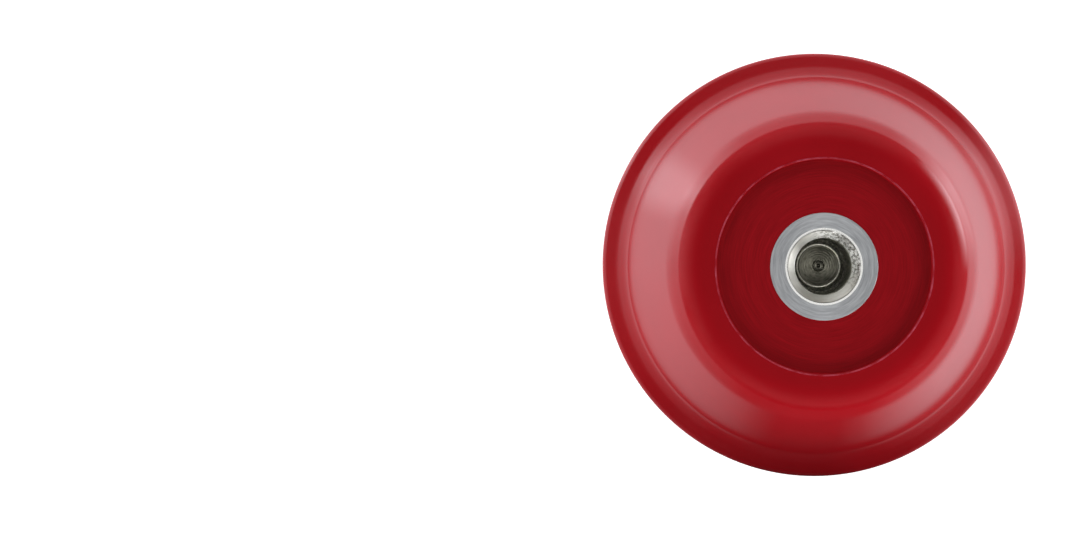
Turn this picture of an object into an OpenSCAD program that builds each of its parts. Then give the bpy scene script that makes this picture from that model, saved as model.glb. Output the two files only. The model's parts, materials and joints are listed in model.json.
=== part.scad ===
// Double-cone bobbin: a urethane double cone cast round a turned hub, with a set screw in the hub's web.
// It stands on one end ring, with its axis along Z and its origin at the centre of that ring.

/* [Body] */
// Diameter over the central band
band_d = 66; // [62:1:72]
// Overall height, from one end ring to the other
body_h = 60; // [56:1:66]
// Height of the band between its two sharp edges, before they are rounded
band_h = 12; // [8:0.5:14]
// Radius of the band's rounded edges
band_round = 1.2; // [0.5:0.1:1.5]
// Height of the sloping ledge between the band and the cone
ledge_h = 1.9; // [1.5:0.1:3]
// Radius of the hollow fillet where the ledge meets the cone
ledge_fillet = 5; // [1:0.5:7.5]
// Angle of the cone's side to the axis
cone_angle = 21.2; // [18:0.1:24]
// Diameter at which the cone's side would meet the end, before the shoulder is shaped
end_d = 42.1; // [41:0.1:44]
// Distance below the end at which the cone's side starts to lean into the shoulder
lean_h = 5; // [3:0.5:7]
// Angle of that leaning part to the axis
lean_angle = 30; // [26:1:32]
// Radius that blends the cone's side into the leaning part
lean_blend = 20; // [5:1:20]
// Radius of the rounded shoulder
shoulder_round = 5.5; // [3:0.5:5.5]

/* [Faced recess] */
// Diameter of the faced recess in each end
recess_d = 32; // [26:1:33]
// Depth of the recess, which is also how far the hub stops short of the end ring
recess_depth = 1; // [0.5:0.1:2]

/* [Hub] */
// Outside diameter of the hub
hub_d = 16; // [15:0.5:20]
// Diameter of the socket in each end of the hub
socket_d = 8.5; // [8.4:0.1:9.5]
// Depth of each socket below the hub's face
socket_depth = 13; // [10:0.5:16]
// Depth of the socket's 45 degree chamfer
chamfer_depth = 1.5; // [0.5:0.1:2]
// Number of keying grooves round the hub, which the casting fills
groove_count = 3; // [1:1:4]
// Width of one keying groove
groove_w = 4; // [2:0.5:5]
// Depth of one keying groove
groove_depth = 1; // [0.5:0.1:1.5]

/* [Set screw] */
// Outside diameter of the screw's thread
screw_d = 7.9; // [7.85:0.01:7.96]
// Length of the screw
screw_l = 30; // [20:1:32]
// Chamfer round the flat point
point_chamfer = 0.6; // [0.3:0.1:1]
// Width across the flats of the hexagonal drive socket
hex_af = 4; // [3:0.5:5]
// Depth of the drive socket
hex_depth = 5; // [3:0.5:7]

/* [Hidden] */
$fn = 96;

// Nominal diameter of the threaded bore in the hub's web
thread_d = 8;
// Number of straight steps in each rounded corner of the body's outline
arc_steps = 8;
// Margin by which a cutting shape runs past the face that it cuts
cut = 1;

mid_z = body_h / 2;
hub_h = body_h - 2 * recess_depth;
hub_top = mid_z + hub_h / 2;
web_half_h = hub_h / 2 - socket_depth;
screw_bottom = mid_z + web_half_h - screw_l;
groove_pitch = hub_h / (groove_count + 1);

// Corners of the body's outline above its middle, as [radius, height above the middle].
band_corner = [band_d / 2, band_h / 2];
ledge_z = band_h / 2 + ledge_h;
ledge_corner = [end_d / 2 + (mid_z - ledge_z) * tan(cone_angle), ledge_z];
lean_corner = [end_d / 2 + lean_h * tan(cone_angle), mid_z - lean_h];
shoulder_corner = [lean_corner[0] - lean_h * tan(lean_angle), mid_z];
band_middle = [band_d / 2, 0];
recess_rim = [recess_d / 2, mid_z];

function unit(v) = v / norm(v);
function cross_z(a, b) = a[0] * b[1] - a[1] * b[0];

// Angle between the two straight sides that meet at a corner.
function corner_angle(before, corner, after) =
    acos(unit(before - corner) * unit(after - corner));

// Centre of the arc of radius r that touches both sides of a corner.
function arc_centre(before, corner, after, r) =
    corner + unit(unit(before - corner) + unit(after - corner))
        * r / sin(corner_angle(before, corner, after) / 2);

// Points of that arc, from the side before the corner to the side after it.
function rounded(before, corner, after, r) =
    let (
        centre = arc_centre(before, corner, after, r),
        turn = 180 - corner_angle(before, corner, after),
        side = cross_z(corner - before, after - corner) > 0 ? 1 : -1,
        along = unit(corner - before),
        normal = [along[1], -along[0]] * side * r
    )
    [for (i = [0 : arc_steps])
        let (a = side * turn * i / arc_steps)
        centre + [normal[0] * cos(a) - normal[1] * sin(a), normal[0] * sin(a) + normal[1] * cos(a)]];

// The outline of the upper half, from the band to the recess's rim.
upper_outline = concat(
    rounded(band_middle, band_corner, ledge_corner, band_round),
    rounded(band_corner, ledge_corner, lean_corner, ledge_fillet),
    rounded(ledge_corner, lean_corner, shoulder_corner, lean_blend),
    rounded(lean_corner, shoulder_corner, recess_rim, shoulder_round)
);

// The body's whole outside, mirrored about the middle.
module body_blank() {
    lower = [for (i = [len(upper_outline) - 1 : -1 : 0]) [upper_outline[i][0], -upper_outline[i][1]]];
    outline = concat([[0, -mid_z]], lower, upper_outline, [[0, mid_z]]);
    translate([0, 0, mid_z]) rotate_extrude() polygon(outline);
}

module recess(z) {
    translate([0, 0, z]) cylinder(h = recess_depth + cut, d = recess_d);
}

// The hub's outside with its keying grooves.
module hub_blank() {
    difference() {
        translate([0, 0, recess_depth]) cylinder(h = hub_h, d = hub_d);
        for (i = [1 : groove_count]) key_groove(recess_depth + i * groove_pitch);
    }
}

module key_groove(z) {
    translate([0, 0, z - groove_w / 2]) difference() {
        cylinder(h = groove_w, d = hub_d + 2 * cut);
        cylinder(h = groove_w, d = hub_d - 2 * groove_depth);
    }
}

// A socket with its chamfer, open upwards, with its mouth at z = 0.
module socket() {
    translate([0, 0, -socket_depth]) cylinder(h = socket_depth + cut, d = socket_d);
    translate([0, 0, -chamfer_depth])
        cylinder(h = chamfer_depth, d1 = socket_d, d2 = socket_d + 2 * chamfer_depth);
}

module urethane_body() {
    color("#a01423") difference() {
        body_blank();
        recess(body_h - recess_depth);
        recess(-cut);
        hub_blank();
    }
}

module hub_sleeve() {
    color("#c8cacc") difference() {
        hub_blank();
        translate([0, 0, hub_top]) socket();
        translate([0, 0, body_h - hub_top]) mirror([0, 0, 1]) socket();
        translate([0, 0, mid_z - web_half_h - cut]) cylinder(h = 2 * (web_half_h + cut), d = thread_d);
    }
}

module set_screw() {
    body_l = screw_l - point_chamfer;
    color("#3c3a34") translate([0, 0, screw_bottom]) difference() {
        union() {
            cylinder(h = body_l, d = screw_d);
            translate([0, 0, body_l])
                cylinder(h = point_chamfer, d1 = screw_d, d2 = screw_d - 2 * point_chamfer);
        }
        translate([0, 0, -cut]) cylinder(h = hex_depth + cut, d = hex_af / cos(30), $fn = 6);
    }
}

urethane_body();
hub_sleeve();
set_screw();
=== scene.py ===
import json
import math

import bmesh
import bpy
import numpy as np
from mathutils import Matrix, Vector, noise


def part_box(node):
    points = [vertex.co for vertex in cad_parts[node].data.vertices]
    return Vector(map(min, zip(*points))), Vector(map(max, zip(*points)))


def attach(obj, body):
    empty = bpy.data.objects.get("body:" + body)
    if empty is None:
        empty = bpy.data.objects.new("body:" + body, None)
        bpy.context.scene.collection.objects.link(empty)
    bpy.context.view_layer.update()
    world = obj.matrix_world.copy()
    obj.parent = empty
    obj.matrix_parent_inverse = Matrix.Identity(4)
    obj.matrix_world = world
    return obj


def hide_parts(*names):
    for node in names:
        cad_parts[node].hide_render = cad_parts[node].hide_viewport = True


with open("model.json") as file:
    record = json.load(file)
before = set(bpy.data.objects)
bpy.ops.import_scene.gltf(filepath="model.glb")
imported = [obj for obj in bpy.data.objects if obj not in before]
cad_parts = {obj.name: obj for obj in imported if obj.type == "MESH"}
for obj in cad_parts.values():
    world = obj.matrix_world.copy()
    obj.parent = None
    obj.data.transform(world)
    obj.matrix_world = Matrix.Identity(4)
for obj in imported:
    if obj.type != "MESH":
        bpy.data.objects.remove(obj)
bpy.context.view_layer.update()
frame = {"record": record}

# All lengths are in metres.
MM = 0.001

# Places that the CAD frame gives.
BODY_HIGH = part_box("urethane_body")[1]
HUB_LOW, HUB_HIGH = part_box("hub_sleeve")
SCREW_LOW, SCREW_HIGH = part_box("set_screw")
SOCKET = next(m for m in frame["record"]["mounts"] if m["name"] == "top_socket")

BAND_R = BODY_HIGH.y  # the CAD's facets make its box a hair narrower along Y than along X
TOP_Z = BODY_HIGH.z
MID_Z = TOP_Z / 2
HUB_R = HUB_HIGH.x
FLOOR_Z = HUB_HIGH.z  # the recess's floor, flush with the hub's face
SOCKET_R = SOCKET["dims"]["r_mm"] * MM
SOCKET_FLOOR_Z = SCREW_HIGH.z
LOWER_FLOOR_Z = TOP_Z - SOCKET_FLOOR_Z  # the floor of the lower socket
CHAMFER_Z = SOCKET_FLOOR_Z + SOCKET["dims"]["length_mm"] * MM  # the foot of the socket's chamfer
MOUTH_R = SOCKET_R + FLOOR_Z - CHAMFER_Z  # the socket's mouth, at the top of its 45 degree chamfer
SCREW_R = SCREW_HIGH.x

# The outline of the casting above its middle, as in the CAD.
BAND_HALF = 6 * MM
BAND_ROUND = 1.2 * MM
LEDGE = 1.9 * MM
LEDGE_FILLET = 5 * MM
CONE_SLOPE = math.tan(math.radians(21.2))
END_R = 21.05 * MM
LEAN = 5 * MM  # height over which the side leans into the shoulder
LEAN_SLOPE = math.tan(math.radians(30))
LEAN_BLEND = 20 * MM
SHOULDER_ROUND = 5.5 * MM
RECESS_R = 16 * MM
BURR = 0.05 * MM  # height of the burr that facing the recess left on its rim
BURR_W = 0.22 * MM
FACING_PITCH = 0.36 * MM
FACING_DEPTH = 0.004 * MM

# The hub.
HUB_RING_PITCH = 0.3 * MM
HUB_RING_DEPTH = 0.004 * MM
LIP = 0.32 * MM  # width of the polished lip round the chamfer
GROOVES = 3  # keying grooves, evenly spaced
GROOVE_W = 4 * MM
GROOVE_DEPTH = 1 * MM
# Besides the tearing, the chamfer's colour is darkened on this side: painted shade.
TORN_SIDE = math.radians(35)  # azimuth at which the chamfer is torn the most
TORN_SIZE = 0.07 * MM
TORN_ROUND = 9  # how finely it is torn round the chamfer
TORN_UP = 3  # and up it, for each millimetre
TORN_SEED = 3
TORN_FRACTAL = (0.7, 2.1, 4)  # the noise's fractal increment, lacunarity and octaves
WHOLE_SHARE = 0.02  # roughness of the chamfer's whole side, as a share of the torn side's

# The threads and the set screw.
PITCH = 1.25 * MM
THREAD_DEPTH = 0.6 * MM
ROOT_SHARE = 0.12  # shares of half a pitch that the thread's flat root and its flank take
FLANK_SHARE = 0.74
RUN_OUT = 0.5 * PITCH  # height over which a thread fades at its end
STEPS_A_TURN = 10
WEB_GAP = 0.06 * MM  # room between the web's thread and the screw's
POINT_R = 3.35 * MM
POINT_CHAMFER = 0.6 * MM
POINT_RINGS = (0.92 * MM, 3.05 * MM)  # radii between which the flat point has turned rings
POINT_RING_DROP = 0.07 * MM  # how far those rings lie below the point's edge
POINT_RING_PITCH = 0.36 * MM
POINT_RING_DEPTH = 0.016 * MM
DRIVE_END_SLOPE = 1.2  # how fast the chamfer at the drive end opens
HEX_ACROSS = 4 * MM
HEX_DEPTH = 5 * MM
# The middle and the edge of the flat point, as radius and depth below its highest level, in millimetres.
NUB = (
    (0, 0.01), (0.12, 0.02), (0.24, 0.08), (0.3, 0.2), (0.56, 0.2), (0.64, 0.06), (0.72, 0.06), (0.8, 0.12),
)
POINT_EDGE = ((3.13, 0.03), (3.21, 0.005), (3.29, 0), (3.35, 0.02), (3.41, 0.07))

SEGMENTS = 192
THREAD_SEGMENTS = 96
STRAIGHT_STEPS = 4  # steps in each straight side of the casting's outline
CHAMFER_STEPS = 10
WALL_STEPS = 40
ON_AXIS = 1e-9  # a ring of less than this radius is one point
SMOOTH_BELOW = math.radians(32)  # corners sharper than this stay sharp


# ---- meshes ----------------------------------------------------------------

def arc(before, corner, after, radius, steps):
    """Points of the arc of that radius which rounds a corner between two straight sides."""
    p, c, q = (Vector(v) for v in (before, corner, after))
    a, b = (p - c).normalized(), (q - c).normalized()
    half = a.angle(b) / 2
    centre = c + (a + b).normalized() * radius / math.sin(half)
    first = c + a * radius / math.tan(half) - centre
    turn = (math.pi - 2 * half) * (1 if (c - p).cross(q - c) > 0 else -1)
    out = []
    for i in range(steps + 1):
        t = turn * i / steps
        out.append((centre.x + first.x * math.cos(t) - first.y * math.sin(t),
                    centre.y + first.x * math.sin(t) + first.y * math.cos(t)))
    return out


def span(first, last, steps):
    """Points from first to last, both included, in equal steps."""
    return [tuple(a + (b - a) * i / steps for a, b in zip(first, last)) for i in range(steps + 1)]


def below(z, points):
    """Points at radii and at depths below z, both given in millimetres."""
    return [(r * MM, z - depth * MM) for r, depth in points]


def mirrored(points):
    """The same outline at the other end of the object, in the opposite order."""
    return [(r, 2 * MID_Z - z) for r, z in reversed(points)]


def ridged(r_from, r_to, z, pitch, depth):
    """Points across a flat face with the low rings that a lathe tool leaves."""
    count = max(2, round(abs(r_to - r_from) / pitch))
    out = []
    for i in range(4 * count + 1):
        r = r_from + (r_to - r_from) * i / (4 * count)
        out.append((r, z - depth * (0.5 - 0.5 * math.cos(math.pi * i / 2))))
    return out


def strip(low, high, low_is_point, high_is_point, segments):
    """Faces between two rings whose first vertices are low and high."""
    faces = []
    for i in range(segments):
        j = (i + 1) % segments
        if low_is_point:
            faces.append((low, high + j, high + i))
        elif high_is_point:
            faces.append((low + i, low + j, high))
        else:
            faces.append((low + i, low + j, high + j, high + i))
    return faces


def lathe(name, rings, segments, shape=None, closed=False):
    """A mesh turned about Z. rings are (radius, height); shape(ring, angle) may return a point instead.
    A ring of zero radius becomes one point, and a closed outline joins its last ring to its first."""
    angles = np.arange(segments) * 2 * math.pi / segments
    verts, starts = [], []
    for k, (r, z) in enumerate(rings):
        starts.append(len(verts))
        if r < ON_AXIS:
            verts.append((0, 0, z))
            continue
        for a in angles:
            rr, zz = shape(k, a) if shape else (r, z)
            verts.append((rr * math.cos(a), rr * math.sin(a), zz))
    pairs = [(k, k + 1) for k in range(len(rings) - 1)]
    if closed:
        pairs.append((len(rings) - 1, 0))
    faces = []
    for low, high in pairs:
        points = (rings[low][0] < ON_AXIS, rings[high][0] < ON_AXIS)
        faces += strip(starts[low], starts[high], *points, segments)
    mesh = bpy.data.meshes.new(name)
    mesh.from_pydata(verts, [], faces)
    mesh.validate()
    mesh.update()
    obj = bpy.data.objects.new(name, mesh)
    bpy.context.scene.collection.objects.link(obj)
    return obj


def outward(obj):
    """Turns the faces outwards, shades them smooth and keeps the sharp corners sharp."""
    work = bmesh.new()
    work.from_mesh(obj.data)
    bmesh.ops.recalc_face_normals(work, faces=work.faces)
    work.to_mesh(obj.data)
    work.free()
    obj.data.shade_smooth()
    obj.data.set_sharp_from_angle(angle=SMOOTH_BELOW)


def paint(obj, materials, choose):
    """Gives each face the material whose number choose(centre) returns."""
    for m in materials:
        obj.data.materials.append(m)
    for f in obj.data.polygons:
        f.material_index = choose(f.center)


def key_grooves():
    """The hub's outside between its ends, with its keying grooves, from the bottom up."""
    out = []
    pitch = (HUB_HIGH.z - HUB_LOW.z) / (GROOVES + 1)
    root = HUB_R - GROOVE_DEPTH
    for i in range(1, GROOVES + 1):
        low = HUB_LOW.z + i * pitch - GROOVE_W / 2
        high = HUB_LOW.z + i * pitch + GROOVE_W / 2
        out += [(HUB_R, low), (root, low), (root, high), (HUB_R, high)]
    return out


# ---- the casting -----------------------------------------------------------

def upper_outline():
    """The outside of the casting's upper half, from its middle to the recess's rim."""
    band = (BAND_R, MID_Z + BAND_HALF)
    ledge_z = band[1] + LEDGE
    ledge = (END_R + (TOP_Z - ledge_z) * CONE_SLOPE, ledge_z)
    lean = (END_R + LEAN * CONE_SLOPE, TOP_Z - LEAN)
    shoulder = (lean[0] - (LEAN - BURR) * LEAN_SLOPE, TOP_Z - BURR)
    middle, rim = (BAND_R, MID_Z), (RECESS_R + BURR_W, TOP_Z - BURR)
    arcs = (
        arc(middle, band, ledge, BAND_ROUND, steps=12),
        arc(band, ledge, lean, LEDGE_FILLET, steps=24),
        arc(ledge, lean, shoulder, LEAN_BLEND, steps=10),
        arc(lean, shoulder, rim, SHOULDER_ROUND, steps=28),
    )
    points = [middle]
    for bend in arcs:
        points += span(points[-1], bend[0], STRAIGHT_STEPS)[1:-1] + bend
    burr = [(RECESS_R + BURR_W / 2, TOP_Z - BURR / 3), (RECESS_R + BURR_W / 4, TOP_Z),
            (RECESS_R + BURR_W / 12, TOP_Z - BURR / 2)]
    return points[1:] + [rim] + burr


def build_casting():
    # The recess's wall, down to the small hollow corner at its foot.
    wall = [(RECESS_R, TOP_Z - 0.3 * MM), (RECESS_R - 0.02 * MM, FLOOR_Z + 0.15 * MM),
            (RECESS_R - 0.12 * MM, FLOOR_Z)]
    floor = ridged(RECESS_R - 0.3 * MM, HUB_R + 0.1 * MM, FLOOR_Z, FACING_PITCH, FACING_DEPTH)
    upper = upper_outline() + wall + floor + [(HUB_R, FLOOR_Z - 0.03 * MM)]
    inside = list(reversed(key_grooves()))
    outline = mirrored(upper) + [(BAND_R, MID_Z)] + upper + inside
    obj = lathe("urethane_casting", outline, SEGMENTS, closed=True)
    outward(obj)
    return obj


# ---- the threads -----------------------------------------------------------

def thread_height(angle, z):
    """How far the thread stands out at this angle and height, from 0 at its root to 1 at its crest."""
    t = (z / PITCH - angle / (2 * math.pi)) % 1.0
    ramp = min(t, 1 - t) * 2
    return min(1.0, max(0.0, (ramp - ROOT_SHARE) / FLANK_SHARE))


def thread_cut(angle, z, from_end):
    """How deep the thread is cut at this angle and height, and this far from the thread's end."""
    lead = min(1.0, max(0.0, from_end / RUN_OUT))
    return THREAD_DEPTH * lead * (1 - thread_height(angle, z))


def thread_rings(top, length):
    """Rings from top down over length, close enough to carry a thread."""
    rows = int(length / PITCH * STEPS_A_TURN)
    return [(SCREW_R, top - length * i / rows) for i in range(rows + 1)]


# ---- the hub ---------------------------------------------------------------

def torn(angle, z):
    """Roughness of metal that a blunt tool tore, most on one side and least on the other."""
    side = max(0.0, math.cos(angle - TORN_SIDE))
    x, y = math.cos(angle) * TORN_ROUND, math.sin(angle) * TORN_ROUND
    rough = TORN_SIZE * noise.fractal(Vector((x, y, z / MM * TORN_UP + TORN_SEED)), *TORN_FRACTAL)
    return rough * (WHOLE_SHARE + (1 - WHOLE_SHARE) * side * side)


def hub_end():
    """The hub's upper end, from its rim inwards and down its socket, and the indices of the chamfer's
    points."""
    rim = [(HUB_R, FLOOR_Z - 0.04 * MM)]
    face = ridged(HUB_R - 0.05 * MM, MOUTH_R + 0.06 * MM, FLOOR_Z, HUB_RING_PITCH, HUB_RING_DEPTH)
    lip = [(MOUTH_R, FLOOR_Z - 0.005 * MM), (MOUTH_R - LIP * 0.5, FLOOR_Z - 0.015 * MM),
           (MOUTH_R - LIP, FLOOR_Z - 0.04 * MM)]
    chamfer = span((MOUTH_R - LIP - 0.05 * MM, FLOOR_Z - 0.25 * MM), (SOCKET_R, CHAMFER_Z), CHAMFER_STEPS)
    wall = span((SOCKET_R, CHAMFER_Z), (SOCKET_R, SOCKET_FLOOR_Z), WALL_STEPS)[1:]
    first = len(rim + face + lip)
    return rim + face + lip + chamfer + wall, range(first, first + len(chamfer))


def build_hub():
    end, chamfer = hub_end()
    web = thread_rings(SOCKET_FLOOR_Z, SOCKET_FLOOR_Z - LOWER_FLOOR_Z)
    bore, outside = end + web + mirrored(end), key_grooves()
    web_rings = range(len(end), len(end) + len(web))
    last = len(bore) - 1

    def shape(k, angle):
        if k > last:
            return outside[k - last - 1]
        r, z = bore[k]
        if k in web_rings:
            # The web's thread stands in as far as the screw's is cut.
            from_end = min(SOCKET_FLOOR_Z - z, z - LOWER_FLOOR_Z)
            return r + WEB_GAP - thread_cut(angle, z, from_end), z
        if k in chamfer or last - k in chamfer:
            return r + torn(angle, z), z
        return r, z

    obj = lathe("hub_bar", bore + outside, SEGMENTS, shape, closed=True)
    outward(obj)
    return obj


# ---- the set screw ---------------------------------------------------------

def build_screw():
    top, bottom = SCREW_HIGH.z, SCREW_LOW.z
    flat = ridged(*POINT_RINGS, top - POINT_RING_DROP, POINT_RING_PITCH, POINT_RING_DEPTH)
    point = below(top, NUB) + flat + below(top, POINT_EDGE)
    thread_top = top - 0.1 * MM
    thread = thread_rings(thread_top, thread_top - bottom)
    # The drive socket: the chamfer at its mouth, its six flats and the cone that the drill left.
    drive = [(HEX_ACROSS / 2 + 0.35 * MM, bottom), (HEX_ACROSS / 2, bottom + 0.3 * MM),
             (HEX_ACROSS / 2, bottom + HEX_DEPTH), (HEX_ACROSS / 4, bottom + HEX_DEPTH + 0.5 * MM),
             (0, bottom + HEX_DEPTH + 1 * MM)]
    rings = point + thread + [(POINT_R - 0.2 * MM, bottom)] + drive
    first, last = len(point), len(point) + len(thread)
    hexagonal = (last + 2, last + 3)

    def shape(k, angle):
        r, z = rings[k]
        if first <= k < last:
            chamfer = min(POINT_R + top - z, POINT_R + (z - bottom) * DRIVE_END_SLOPE)
            return min(r - thread_cut(angle, z, top - POINT_CHAMFER - z), chamfer), z
        if k in hexagonal:
            off_flat = (angle + math.pi / 6) % (math.pi / 3) - math.pi / 6
            return r / math.cos(off_flat), z
        return r, z

    obj = lathe("set_screw_threaded", rings, THREAD_SEGMENTS, shape)
    outward(obj)
    return obj


# ---- materials -------------------------------------------------------------

# Base colours, each as the two ends between which it varies.
CAST_RED = (0.40, 0.0035, 0.0085), (0.46, 0.0045, 0.011)
FACED_RED = (0.31, 0.003, 0.007), (0.46, 0.006, 0.013)
CUT_RED = (0.42, 0.008, 0.02), (0.62, 0.09, 0.14)
FACE_METAL = (0.4, 0.41, 0.43), (0.64, 0.655, 0.67)
LIP_METAL = (0.94, 0.94, 0.9), (1.0, 1.0, 0.97)
WHOLE_METAL = (0.9, 0.89, 0.84), (1.0, 1.0, 0.96)
# The chamfer's torn side: pits, and a darker colour that is painted shade.
TORN_AND_SHADED_METAL = (0.16, 0.155, 0.13), (0.97, 0.97, 0.95)
# The next two colours paint shade in the socket: the bore's wall, its floor and the screw's chamfer down in
# it are darker than their metal is.
PAINTED_BORE_SHADE = (0.14, 0.14, 0.11), (0.55, 0.54, 0.46)
SOCKET_SHADE = (0.12, 0.12, 0.09), (0.3, 0.29, 0.24)
BLACKENED_STEEL = (0.045, 0.044, 0.033), (0.13, 0.125, 0.1)
# The next colour paints a highlight on the edge of the screw's point.
PAINTED_HIGHLIGHT_STEEL = (0.5, 0.48, 0.4), (0.8, 0.78, 0.68)

# How much turning marks change along their length, as metres of noise for each radian or so.
FACING_BREAKS = 0.0004
TURNING_BREAKS = 0.0006
CHAMFER_BREAKS = 0.0008

URETHANE_IOR = 1.5
SKIN_IOR = 1.52  # of the moulded skin
# The same shares also fade in the painted shade on the chamfer's torn side.
TORN_FROM, TORN_FULL = 0.55, 0.9  # shares of the way to TORN_SIDE between which the pits set in


class Graph:
    """A material's node tree, with one short call for each kind of node."""

    def __init__(self, name):
        self.material = bpy.data.materials.new(name)
        self.material.use_nodes = True
        self.tree = self.material.node_tree
        self.tree.nodes.clear()
        self.out = self.new("OutputMaterial")
        self.shader = self.new("BsdfPrincipled")
        self.link(self.shader.outputs[0], self.out.inputs["Surface"])

    def new(self, kind):
        return self.tree.nodes.new("ShaderNode" + kind)

    def link(self, a, b):
        self.tree.links.new(a, b)

    def set(self, **values):
        """Sets the shader's own sockets, with _ for a space in their names."""
        for name, value in values.items():
            self.shader.inputs[name.replace("_", " ")].default_value = value

    def place(self):
        return self.new("TexCoord").outputs["Object"]

    def axes(self):
        """The place's X, Y and Z."""
        n = self.new("SeparateXYZ")
        self.link(self.place(), n.inputs[0])
        return tuple(n.outputs)

    def noise(self, scale, detail, rough=0.5, where=None):
        """Smooth noise with about scale cells in each metre, and detail layers of finer noise on it."""
        n = self.new("TexNoise")
        n.inputs["Scale"].default_value = scale
        n.inputs["Detail"].default_value = detail
        n.inputs["Roughness"].default_value = rough
        self.link(where or self.place(), n.inputs["Vector"])
        return n.outputs["Fac"]

    def calc(self, operation, *values):
        n = self.new("Math")
        n.operation = operation
        for i, value in enumerate(values):
            if isinstance(value, (int, float)):
                n.inputs[i].default_value = value
            else:
                self.link(value, n.inputs[i])
        return n.outputs[0]

    def ramp(self, fac, *stops):
        n = self.new("ValToRGB")
        ramp = n.color_ramp
        while len(ramp.elements) < len(stops):
            ramp.elements.new(0.5)
        for e, (at, colour) in zip(ramp.elements, stops):
            e.position = at
            e.color = (*colour, 1.0)
        self.link(fac, n.inputs["Fac"])
        return n.outputs["Color"]

    def remap(self, fac, low, high, start=0.0, end=1.0):
        """Goes from low to high as fac goes from start to end."""
        n = self.new("MapRange")
        for name, value in (("From Min", start), ("From Max", end), ("To Min", low), ("To Max", high)):
            n.inputs[name].default_value = value
        self.link(fac, n.inputs["Value"])
        return n.outputs["Result"]

    def mix(self, fac, a, b):
        n = self.new("Mix")
        n.data_type = "RGBA"
        for i, value in ((0, fac), (6, a), (7, b)):
            self.link(value, n.inputs[i])
        return n.outputs[2]

    def radius(self):
        """Distance from the Z axis."""
        x, y, _ = self.axes()
        return self.calc("SQRT", self.calc("ADD", self.calc("MULTIPLY", x, x), self.calc("MULTIPLY", y, y)))

    def rings(self, scale, detail, breaks):
        """Noise that changes with the distance from the axis, like turning marks. The larger breaks is,
        the more the marks also change along their length."""
        x, y, _ = self.axes()
        radius, join = self.radius(), self.new("CombineXYZ")
        self.link(radius, join.inputs["X"])
        for value, name in ((x, "Y"), (y, "Z")):
            along = self.calc("MULTIPLY", self.calc("DIVIDE", value, radius), breaks)
            self.link(along, join.inputs[name])
        return self.noise(scale, detail, 0.6, join.outputs[0])

    def towards(self, azimuth):
        """1 on the side of the axis that lies at that azimuth, 0 on the other side."""
        x, y, _ = self.axes()
        x, y = self.calc("MULTIPLY", x, math.cos(azimuth)), self.calc("MULTIPLY", y, math.sin(azimuth))
        along = self.calc("DIVIDE", self.calc("ADD", x, y), self.radius())
        return self.calc("MULTIPLY", self.calc("ADD", along, 1.0), 0.5)

    def colour(self, fac, colours, start=0.3, end=0.7):
        """Base colour that goes from the first colour to the second as fac goes from start to end."""
        self.link(self.ramp(fac, *zip((start, end), colours)), self.shader.inputs["Base Color"])

    def roughness(self, fac, low, high):
        self.link(self.remap(fac, low, high), self.shader.inputs["Roughness"])

    def bump(self, height, strength, distance):
        n = self.new("Bump")
        n.inputs["Strength"].default_value = strength
        n.inputs["Distance"].default_value = distance
        self.link(height, n.inputs["Height"])
        self.link(n.outputs[0], self.shader.inputs["Normal"])

    def turned(self, amount):
        """Stretches the gloss across the turning marks."""
        n = self.new("Tangent")
        n.direction_type, n.axis = "RADIAL", "Z"
        self.link(n.outputs[0], self.shader.inputs["Tangent"])
        self.set(Anisotropic=amount)


def cast_urethane():
    """The moulded skin, glossy and very slightly uneven."""
    g = Graph("cast_urethane_red")
    g.colour(g.noise(60, 4), CAST_RED)
    g.roughness(g.noise(900, 3), 0.13, 0.21)
    g.bump(g.noise(420, 2), 0.08, 0.05 * MM)
    g.set(IOR=SKIN_IOR)
    return g.material


def faced_urethane():
    """The recess's floor and wall, duller and with turning marks."""
    g = Graph("faced_urethane_red")
    g.colour(g.rings(7000, 4, FACING_BREAKS), FACED_RED)
    g.roughness(g.rings(6000, 3, FACING_BREAKS), 0.28, 0.42)
    g.bump(g.rings(7000, 5, FACING_BREAKS), 0.4, 0.02 * MM)
    g.set(IOR=URETHANE_IOR)
    return g.material


def cut_edge():
    """The casting's paler, roughened edge where facing the recess has cut it."""
    g = Graph("cut_urethane_edge")
    g.colour(g.noise(500, 5, 0.65), CUT_RED, 0.4, 0.65)
    g.roughness(g.noise(2000, 3), 0.35, 0.5)
    g.set(IOR=URETHANE_IOR)
    return g.material


def turned_metal(name, colours, rough, scale, stretch=0.5):
    """Metal with turning marks; rough is the middle of its roughness."""
    g = Graph(name)
    g.colour(g.rings(scale, 4, TURNING_BREAKS), colours)
    g.roughness(g.noise(2500, 4), rough - 0.08, rough + 0.08)
    g.bump(g.rings(scale, 5, TURNING_BREAKS), 0.35, 0.02 * MM)
    g.turned(stretch)
    g.set(Metallic=1.0)
    return g.material


def torn_and_shaded_aluminium():
    """Smooth and bright on one side; torn, pitted and darkened by painted shade on the other."""
    g = Graph("torn_and_shaded_aluminium")
    side = g.remap(g.towards(TORN_SIDE), 0.0, 1.0, TORN_FROM, TORN_FULL)
    whole = g.ramp(g.rings(4000, 4, CHAMFER_BREAKS), *zip((0.3, 0.7), WHOLE_METAL))
    # The torn side's colour is darker: painted shade.
    pitted_and_shaded = g.ramp(g.noise(2300, 6, 0.7), *zip((0.4, 0.54), TORN_AND_SHADED_METAL))
    g.link(g.mix(side, whole, pitted_and_shaded), g.shader.inputs["Base Color"])
    g.roughness(g.noise(3000, 4), 0.28, 0.4)
    pits = g.calc("MULTIPLY", g.noise(3500, 5, 0.65), g.calc("ADD", side, WHOLE_SHARE))
    g.bump(pits, 0.6, 0.08 * MM)
    g.set(Metallic=1.0)
    return g.material


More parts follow.
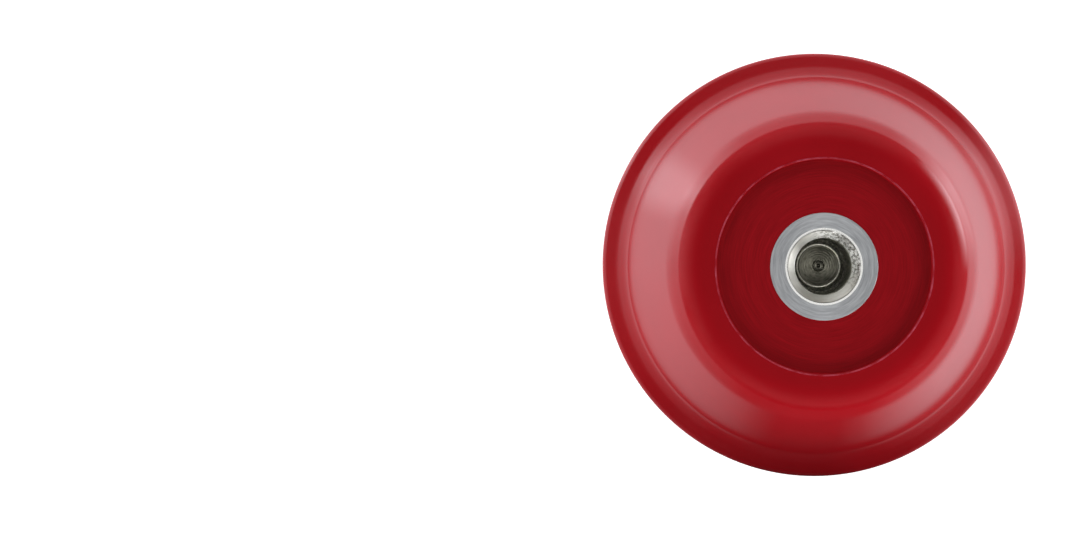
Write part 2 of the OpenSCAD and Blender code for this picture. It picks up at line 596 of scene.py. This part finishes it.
def dull_painted_socket_shade(name, colours):
    """Dull, dark, speckled metal that paints the shade down in the socket."""
    g = Graph(name)
    g.colour(g.noise(2500, 5, 0.65), colours, 0.38, 0.6)
    g.roughness(g.noise(2500, 3), 0.5, 0.7)
    g.bump(g.noise(2500, 4), 0.4, 0.05 * MM)
    return g.material


def painted_highlight_steel():
    """The bright edge of the screw's point, where a highlight is painted."""
    g = Graph("painted_highlight_steel_edge")
    g.colour(g.noise(3000, 4), PAINTED_HIGHLIGHT_STEEL, 0.35, 0.65)
    g.roughness(g.noise(2500, 3), 0.25, 0.4)
    g.bump(g.noise(4000, 3), 0.2, 0.02 * MM)
    g.set(Metallic=1.0)
    return g.material


# ---- the pieces on their bodies --------------------------------------------

MARGIN = 0.02 * MM  # by how much a face's centre may miss the limit of its zone


def casting_zone(c):
    """0 on the moulded skin, 1 in a faced recess, 2 on the cut edge round it."""
    r, end = math.hypot(c.x, c.y), MID_Z - abs(c.z - MID_Z)
    if end > 1.5 * MM or r > RECESS_R + BURR_W * 0.8:
        return 0
    return 2 if r > RECESS_R - 0.01 * MM and end < 0.2 * MM else 1


def hub_zone(c):
    """0 on the turned face, 1 on the polished lip, 2 on the chamfer, 3 in the bore and 4 on the socket's
    floor."""
    r, end = math.hypot(c.x, c.y), min(c.z, TOP_Z - c.z)
    if r > MOUTH_R + MARGIN:
        return 0
    if r > MOUTH_R - LIP - MARGIN:
        return 1
    if end < TOP_Z - CHAMFER_Z + 0.1 * MM and r > SOCKET_R + MARGIN:
        return 2
    on_floor = abs(end - TOP_Z + SOCKET_FLOOR_Z) < 0.05 * MM
    return 4 if on_floor and r < SOCKET_R - MARGIN else 3


def screw_zone(c):
    """0 on the turned point and the thread, 1 on the point's edge, which has a painted highlight, 2 on its
    chamfer, which has painted shade.
    """
    r, down = math.hypot(c.x, c.y), SCREW_HIGH.z - c.z
    if r > POINT_R + 0.05 * MM and down < POINT_CHAMFER + 0.3 * MM:
        return 2
    return 1 if down < 0.12 * MM and r > POINT_R - 0.24 * MM else 0


def add_pieces():
    """Adds the three pieces to their bodies, and returns the hub and the screw."""
    # Painted shade for the socket's floor and the screw's chamfer.
    painted_socket_shade = dull_painted_socket_shade("dull_painted_socket_shade", SOCKET_SHADE)
    casting = build_casting()
    paint(casting, [cast_urethane(), faced_urethane(), cut_edge()], casting_zone)
    hub = build_hub()
    paint(hub, [
        turned_metal("turned_aluminium_face", FACE_METAL, 0.46, 4000),
        turned_metal("polished_aluminium_lip", LIP_METAL, 0.26, 4000),
        # The chamfer, with painted shade on its torn side.
        torn_and_shaded_aluminium(),
        # The bore's wall: painted shade.
        dull_painted_socket_shade("bored_aluminium_painted_shade", PAINTED_BORE_SHADE),
        painted_socket_shade,
    ], hub_zone)
    screw = build_screw()
    blackened = turned_metal("blackened_steel", BLACKENED_STEEL, 0.32, 4500, stretch=0.78)
    # The point's edge gets a painted highlight, and its chamfer gets painted shade.
    paint(screw, [blackened, painted_highlight_steel(), painted_socket_shade], screw_zone)
    for piece, body, node, slot in (
        (casting, "bobbin", "urethane_body", "cast_urethane"),
        (hub, "bobbin", "hub_sleeve", "turned_hub"),
        (screw, "screw", "set_screw", "blackened_screw"),
    ):
        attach(piece, body)
        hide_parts(node)
    return hub, screw


# ---- the stage and the lights ----------------------------------------------

# Azimuths and elevations here are in degrees: azimuth 0 is +X and 90 is +Y.
CENTRE = Vector((0, 0, MID_Z))
FLOOR_SIZE = (6, 6)
FLOOR_GREY = (0.79, 0.79, 0.79), (0.81, 0.81, 0.81)
FLOOR_GLOW = 0.85
WHITE = (1, 1, 1, 1)
CLOTH_BLACK = (0.02, 0.02, 0.02, 1)
TINT = (1.0, 0.965, 1.03)  # the studio's white, a little towards pink

# The floor that the gloss mirrors: its brightness by azimuth.
MIRRORED = (
    (0, 1.0), (35, 0.98), (60, 0.88), (90, 0.85), (125, 0.98), (138, 1.1), (146, 1.8), (155, 1.8),
    (163, 1.1), (180, 1.05), (210, 0.76), (219, 0.67), (232, 0.48), (242, 0.3), (251, 0.1), (258, 0.02),
    (280, 0.02), (288, 0.1), (297, 0.32), (305, 0.52), (320, 0.86), (345, 1.0),
)
MIRROR_RISE = 0.0005  # how far it lies above the floor that the camera sees
MIRROR_NEAR = 0.1
MIRROR_FAR = 0.13
FAR_SHARE = 0.1  # how bright it is beyond MIRROR_FAR, as a share of what it is up to MIRROR_NEAR

# The two low screens round the object: their brightness by azimuth, and each one's name, radius, bottom and
# top. Little more than the ledges and the band mirrors them.
SCREEN = (
    (0, 1.0), (15, 1.8), (30, 2.3), (45, 1.0), (60, 0.5), (90, 0.55), (120, 0.65), (140, 1.5), (150, 2.8),
    (160, 1.5), (180, 0.9), (210, 0.4), (240, 0.08), (290, 0.04), (330, 0.55), (345, 0.8),
)
SCREENS = (("near_screen", 0.05, 0.030, 0.043), ("low_screen", 0.08, 0.014, 0.033))
BRIGHTEST = 3.0  # no level in the two tables is higher

# Cards that only the gloss sees: name, azimuth, distance, size, glow, and the two distances across and the
# two heights, all from the card's middle, between which the glow fades.
GLOSS_CARDS = (
    ("right_card", 22, 0.11, (0.1, 0.1), 4.8, (0.014, 0.05), (-0.015, 0.03)),
    ("left_card", 175, 0.12, (0.12, 0.1), 0.4, (0.02, 0.06), (0, 0.05)),
)
# A dark card that only shades: name, azimuth, distance, size and bottom.
DARK_CARD = ("dark_card", 270, 0.052, (0.07, 0.042), 0.008)

LAMP_DISTANCE = 0.8
# Lamps at the sides that the gloss doesn't mirror: name, azimuth and power in watts.
SOFT_LIGHTS = (
    ("right_soft", -12, 5.0),
    ("near_soft", 270, 4.0),
    ("left_soft", 180, 3.7),
    ("far_soft", 90, 3.5),
)
SOFT_ELEVATION = 19
SOFT_SIZE = (1.2, 0.45)
# Lamps that light one metal piece alone: name, azimuth, elevation, size and power in watts.
HUB_LIGHTS = (
    ("hub_top", 75, 84, (0.7, 0.7), 1.2),
    ("hub_right", 0, 15, (0.8, 0.4), 6.8),
    ("hub_far", 115, 15, (0.8, 0.4), 0.8),
    ("hub_left", 190, 15, (0.8, 0.4), 2.2),
    ("hub_near", 280, 15, (0.8, 0.4), 2.8),
)
SCREW_LIGHTS = (
    ("screw_top", 75, 84, (0.7, 0.7), 0.6),
    ("screw_near", 266, 76, (0.1, 0.1), 0.8),
    ("screw_far", 86, 76, (0.1, 0.1), 0.35),
    ("screw_side", 280, 25, (0.8, 0.4), 1.0),
)

# The sky's brightness by height, from 0 at the horizon to 1 overhead.
SKY = ((0.0, 0.2), (0.12, 0.08), (0.4, 0.035), (0.8, 0.05), (1.0, 0.07))


def around(azimuth, elevation, distance):
    """A point at that distance from the band's centre."""
    a, e = math.radians(azimuth), math.radians(elevation)
    way = Vector((math.cos(a) * math.cos(e), math.sin(a) * math.cos(e), math.sin(e)))
    return CENTRE + way * distance


def plate(name, centre, size, material):
    """A flat rectangle of the stage that lies level, facing up."""
    w, h = size[0] / 2, size[1] / 2
    mesh = bpy.data.meshes.new(name)
    mesh.from_pydata([(-w, -h, 0), (w, -h, 0), (w, h, 0), (-w, h, 0)], [], [(0, 1, 2, 3)])
    mesh.materials.append(material)
    obj = bpy.data.objects.new(name, mesh)
    obj.location = centre
    bpy.context.scene.collection.objects.link(obj)
    return obj


def standing(name, azimuth, distance, size, bottom, material):
    """An upright card that faces the axis and that the camera doesn't see."""
    card = plate(name, around(azimuth, 0, distance), size, material)
    card.location.z = bottom + size[1] / 2
    card.rotation_euler = (math.pi / 2, 0, math.radians(azimuth - 90))
    card.visible_camera = False
    return card


def only_in_gloss(obj):
    """A studio surface that shows in reflections and nowhere else."""
    obj.visible_camera = False
    obj.visible_diffuse = False
    obj.visible_shadow = False
    obj.visible_transmission = False


def lamp(name, azimuth, elevation, size, power):
    """A rectangular lamp that faces the band's centre and that the camera doesn't see."""
    data = bpy.data.lights.new(name, "AREA")
    data.shape, data.energy = "RECTANGLE", power
    data.size, data.size_y = size
    obj = bpy.data.objects.new(name, data)
    obj.location = around(azimuth, elevation, LAMP_DISTANCE)
    obj.rotation_euler = (obj.location - CENTRE).to_track_quat("Z", "Y").to_euler()
    obj.visible_camera = False
    bpy.context.scene.collection.objects.link(obj)
    return obj


def pale_floor():
    g = Graph("pale_floor")
    g.colour(g.noise(8, 3), FLOOR_GREY)
    g.set(Roughness=0.8, Emission_Color=WHITE, Emission_Strength=FLOOR_GLOW)
    return g.material


def by_azimuth(g, table):
    """A glow that changes with azimuth round the axis, as a share of BRIGHTEST."""
    x, y, _ = g.axes()
    turn = g.calc("DIVIDE", g.calc("ARCTAN2", y, x), 2 * math.pi)
    levels = [(at / 360, tuple(v / BRIGHTEST * t for t in TINT)) for at, v in table]
    return g.ramp(g.calc("FRACT", g.calc("ADD", turn, 1.0)), *levels, (1.0, levels[0][1]))


def mirrored_floor():
    """Glow that changes with azimuth and falls off with distance, as the studio round the object does."""
    g = Graph("mirrored_floor")
    near = g.remap(g.radius(), 1.0, FAR_SHARE, MIRROR_NEAR, MIRROR_FAR)
    g.link(by_azimuth(g, MIRRORED), g.shader.inputs["Emission Color"])
    g.link(g.calc("MULTIPLY", near, BRIGHTEST), g.shader.inputs["Emission Strength"])
    g.set(Base_Color=CLOTH_BLACK)
    return g.material


def low_screens():
    """Upright rings of cloth round the object that show only in its gloss."""
    g = Graph("low_screen")
    g.link(by_azimuth(g, SCREEN), g.shader.inputs["Emission Color"])
    g.set(Base_Color=CLOTH_BLACK, Emission_Strength=BRIGHTEST)
    for name, radius, bottom, top in SCREENS:
        ring = lathe(name, [(radius, bottom), (radius, top)], THREAD_SEGMENTS)
        ring.data.materials.append(g.material)
        only_in_gloss(ring)


def fading(name, strength, across, up):
    """A glow that fades on an upright card, from full to none, between two distances from its middle
    across it and between two heights from its middle."""
    g = Graph(name)
    x, y, _ = g.axes()
    share_across = g.remap(g.calc("ABSOLUTE", x), 1.0, 0.0, *across)
    share = g.calc("MULTIPLY", share_across, g.remap(y, 1.0, 0.0, *up))
    g.link(g.calc("MULTIPLY", share, strength), g.shader.inputs["Emission Strength"])
    g.set(Base_Color=CLOTH_BLACK, Emission_Color=(*TINT, 1))
    return g.material


def dark_cloth():
    g = Graph("dark_card")
    g.set(Base_Color=CLOTH_BLACK)
    return g.material


def light_only(piece, lights):
    """Lamps whose light falls on one piece alone."""
    group = bpy.data.collections.new(piece.name + "_lit")
    group.objects.link(piece)
    for light in lights:
        lamp(*light).light_linking.receiver_collection = group


def set_stage(hub, screw):
    plate("floor", (0, 0, 0), FLOOR_SIZE, pale_floor())
    only_in_gloss(plate("mirrored_floor", (0, 0, MIRROR_RISE), FLOOR_SIZE, mirrored_floor()))
    low_screens()
    for name, azimuth, distance, size, glow, across, up in GLOSS_CARDS:
        only_in_gloss(standing(name, azimuth, distance, size, 0, fading(name, glow, across, up)))
    standing(*DARK_CARD, dark_cloth()).visible_glossy = False
    for name, azimuth, power in SOFT_LIGHTS:
        lamp(name, azimuth, SOFT_ELEVATION, SOFT_SIZE, power).visible_glossy = False
    light_only(hub, HUB_LIGHTS)
    light_only(screw, SCREW_LIGHTS)


def set_world():
    """A soft sky that is dim overhead and a little paler at the horizon. The camera sees plain white."""
    world = bpy.data.worlds.new("studio")
    world.use_nodes = True
    bpy.context.scene.world = world
    tree = world.node_tree
    tree.nodes.clear()
    new, link = tree.nodes.new, tree.links.new
    split, ramp = new("ShaderNodeSeparateXYZ"), new("ShaderNodeValToRGB")
    link(new("ShaderNodeTexCoord").outputs["Generated"], split.inputs[0])
    link(split.outputs["Z"], ramp.inputs["Fac"])
    while len(ramp.color_ramp.elements) < len(SKY):
        ramp.color_ramp.elements.new(0.5)
    for e, (at, level) in zip(ramp.color_ramp.elements, SKY):
        e.position = at
        e.color = (level, level, level, 1)
    lit, seen = new("ShaderNodeBackground"), new("ShaderNodeBackground")
    link(ramp.outputs["Color"], lit.inputs["Color"])
    seen.inputs["Color"].default_value = WHITE
    mix = new("ShaderNodeMixShader")
    link(new("ShaderNodeLightPath").outputs["Is Camera Ray"], mix.inputs[0])
    link(lit.outputs[0], mix.inputs[1])
    link(seen.outputs[0], mix.inputs[2])
    link(mix.outputs[0], new("ShaderNodeOutputWorld").inputs["Surface"])
    bpy.context.scene.view_settings.view_transform = "Standard"


# ---- the camera ------------------------------------------------------------

# It looks down the axis of the standing bobbin, a little from one side.
LENS = 100.0  # in millimetres, as is SENSOR
SENSOR = 36.0
CAMERA_DISTANCE = 0.476
OFF_AXIS = math.radians(3.7)
SWING = math.radians(-8.8)  # direction in the picture in which the near end leans from the middle
RIGHT_SHARE = 0.2508  # place of the band's centre from the picture's, in picture widths
UP_SHARE = 0.0026


def basis(forward, up):
    """A matrix whose columns point sideways, as near to up as can be, and forward."""
    f = forward.normalized()
    u = (up - up.dot(f) * f).normalized()
    return Matrix((f.cross(u), u, f)).transposed()


def set_camera():
    """Turns the camera so that the band's centre falls on its place in the picture."""
    side = math.sin(OFF_AXIS)
    back = Vector((-side * math.cos(SWING), -side * math.sin(SWING), math.cos(OFF_AXIS)))
    in_camera = Vector((RIGHT_SHARE * SENSOR / LENS, UP_SHARE * SENSOR / LENS, -1))
    turn = basis(-back, Vector((0, 1, 0))) @ basis(in_camera, Vector((0, 1, 0))).transposed()
    data = bpy.data.cameras.new("camera")
    data.lens, data.sensor_width = LENS, SENSOR
    data.clip_start, data.clip_end = 0.01, 20
    camera = bpy.data.objects.new("camera", data)
    camera.matrix_world = Matrix.Translation(CENTRE + back * CAMERA_DISTANCE) @ turn.to_4x4()
    bpy.context.scene.collection.objects.link(camera)
    bpy.context.scene.camera = camera


set_camera()
set_stage(*add_pieces())
set_world()
